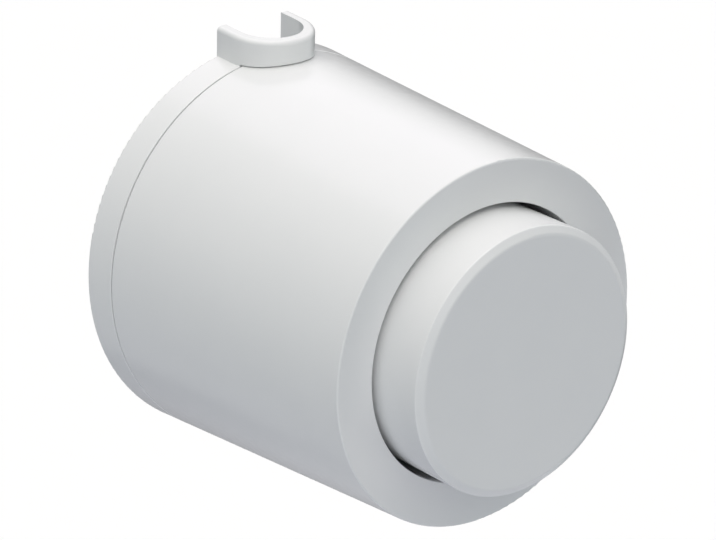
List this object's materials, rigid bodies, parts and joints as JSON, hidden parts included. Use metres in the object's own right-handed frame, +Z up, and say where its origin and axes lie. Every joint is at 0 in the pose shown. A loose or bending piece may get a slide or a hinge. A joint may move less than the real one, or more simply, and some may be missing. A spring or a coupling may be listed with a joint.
{
  "type": "push button cistern actuator",
  "caption": "Wall-mounted push button with a tapered round cover and a hose collar, whose bellows pumps air through a hose to flush a cistern.",
  "frame": {"origin": "centre of the wall plate's rear face, in the plane of the wall and on the button's axis", "axes": "+Z up, the button faces -Y, the wall is the plane Y = 0 and the part lies on its -Y side; +X to the right as seen from the front"},
  "size_m": [0.064, 0.0652, 0.0679],
  "materials": {
    "white_plastic": "satin white moulded plastic",
    "grey_plastic": "matt grey moulded plastic",
    "soft_rubber": "matt black rubber",
    "spring_steel": "bright steel"
  },
  "bodies": {
    "housing": {"wall_plate": "white_plastic", "cover": "white_plastic", "retaining_ring": "grey_plastic", "damping_ring": "soft_rubber", "bellows": "soft_rubber", "bellows_ring": "grey_plastic", "return_spring": "spring_steel", "pump_base": "grey_plastic", "pump_screws": "spring_steel", "hose_nipple": "grey_plastic", "nipple_seal": "soft_rubber"},
    "button": {"push_button": "white_plastic", "plunger": "grey_plastic", "spring_cup": "grey_plastic"}
  },
  "joints": [
    {"name": "button_press", "type": "slide", "parent": "housing", "child": "button", "axis": [0, 1, 0], "range_m": [0, 0.0075], "stiffness_N_per_m": 900, "springref_m": -0.006, "deforming": ["bellows", "return_spring"]}
  ]
}
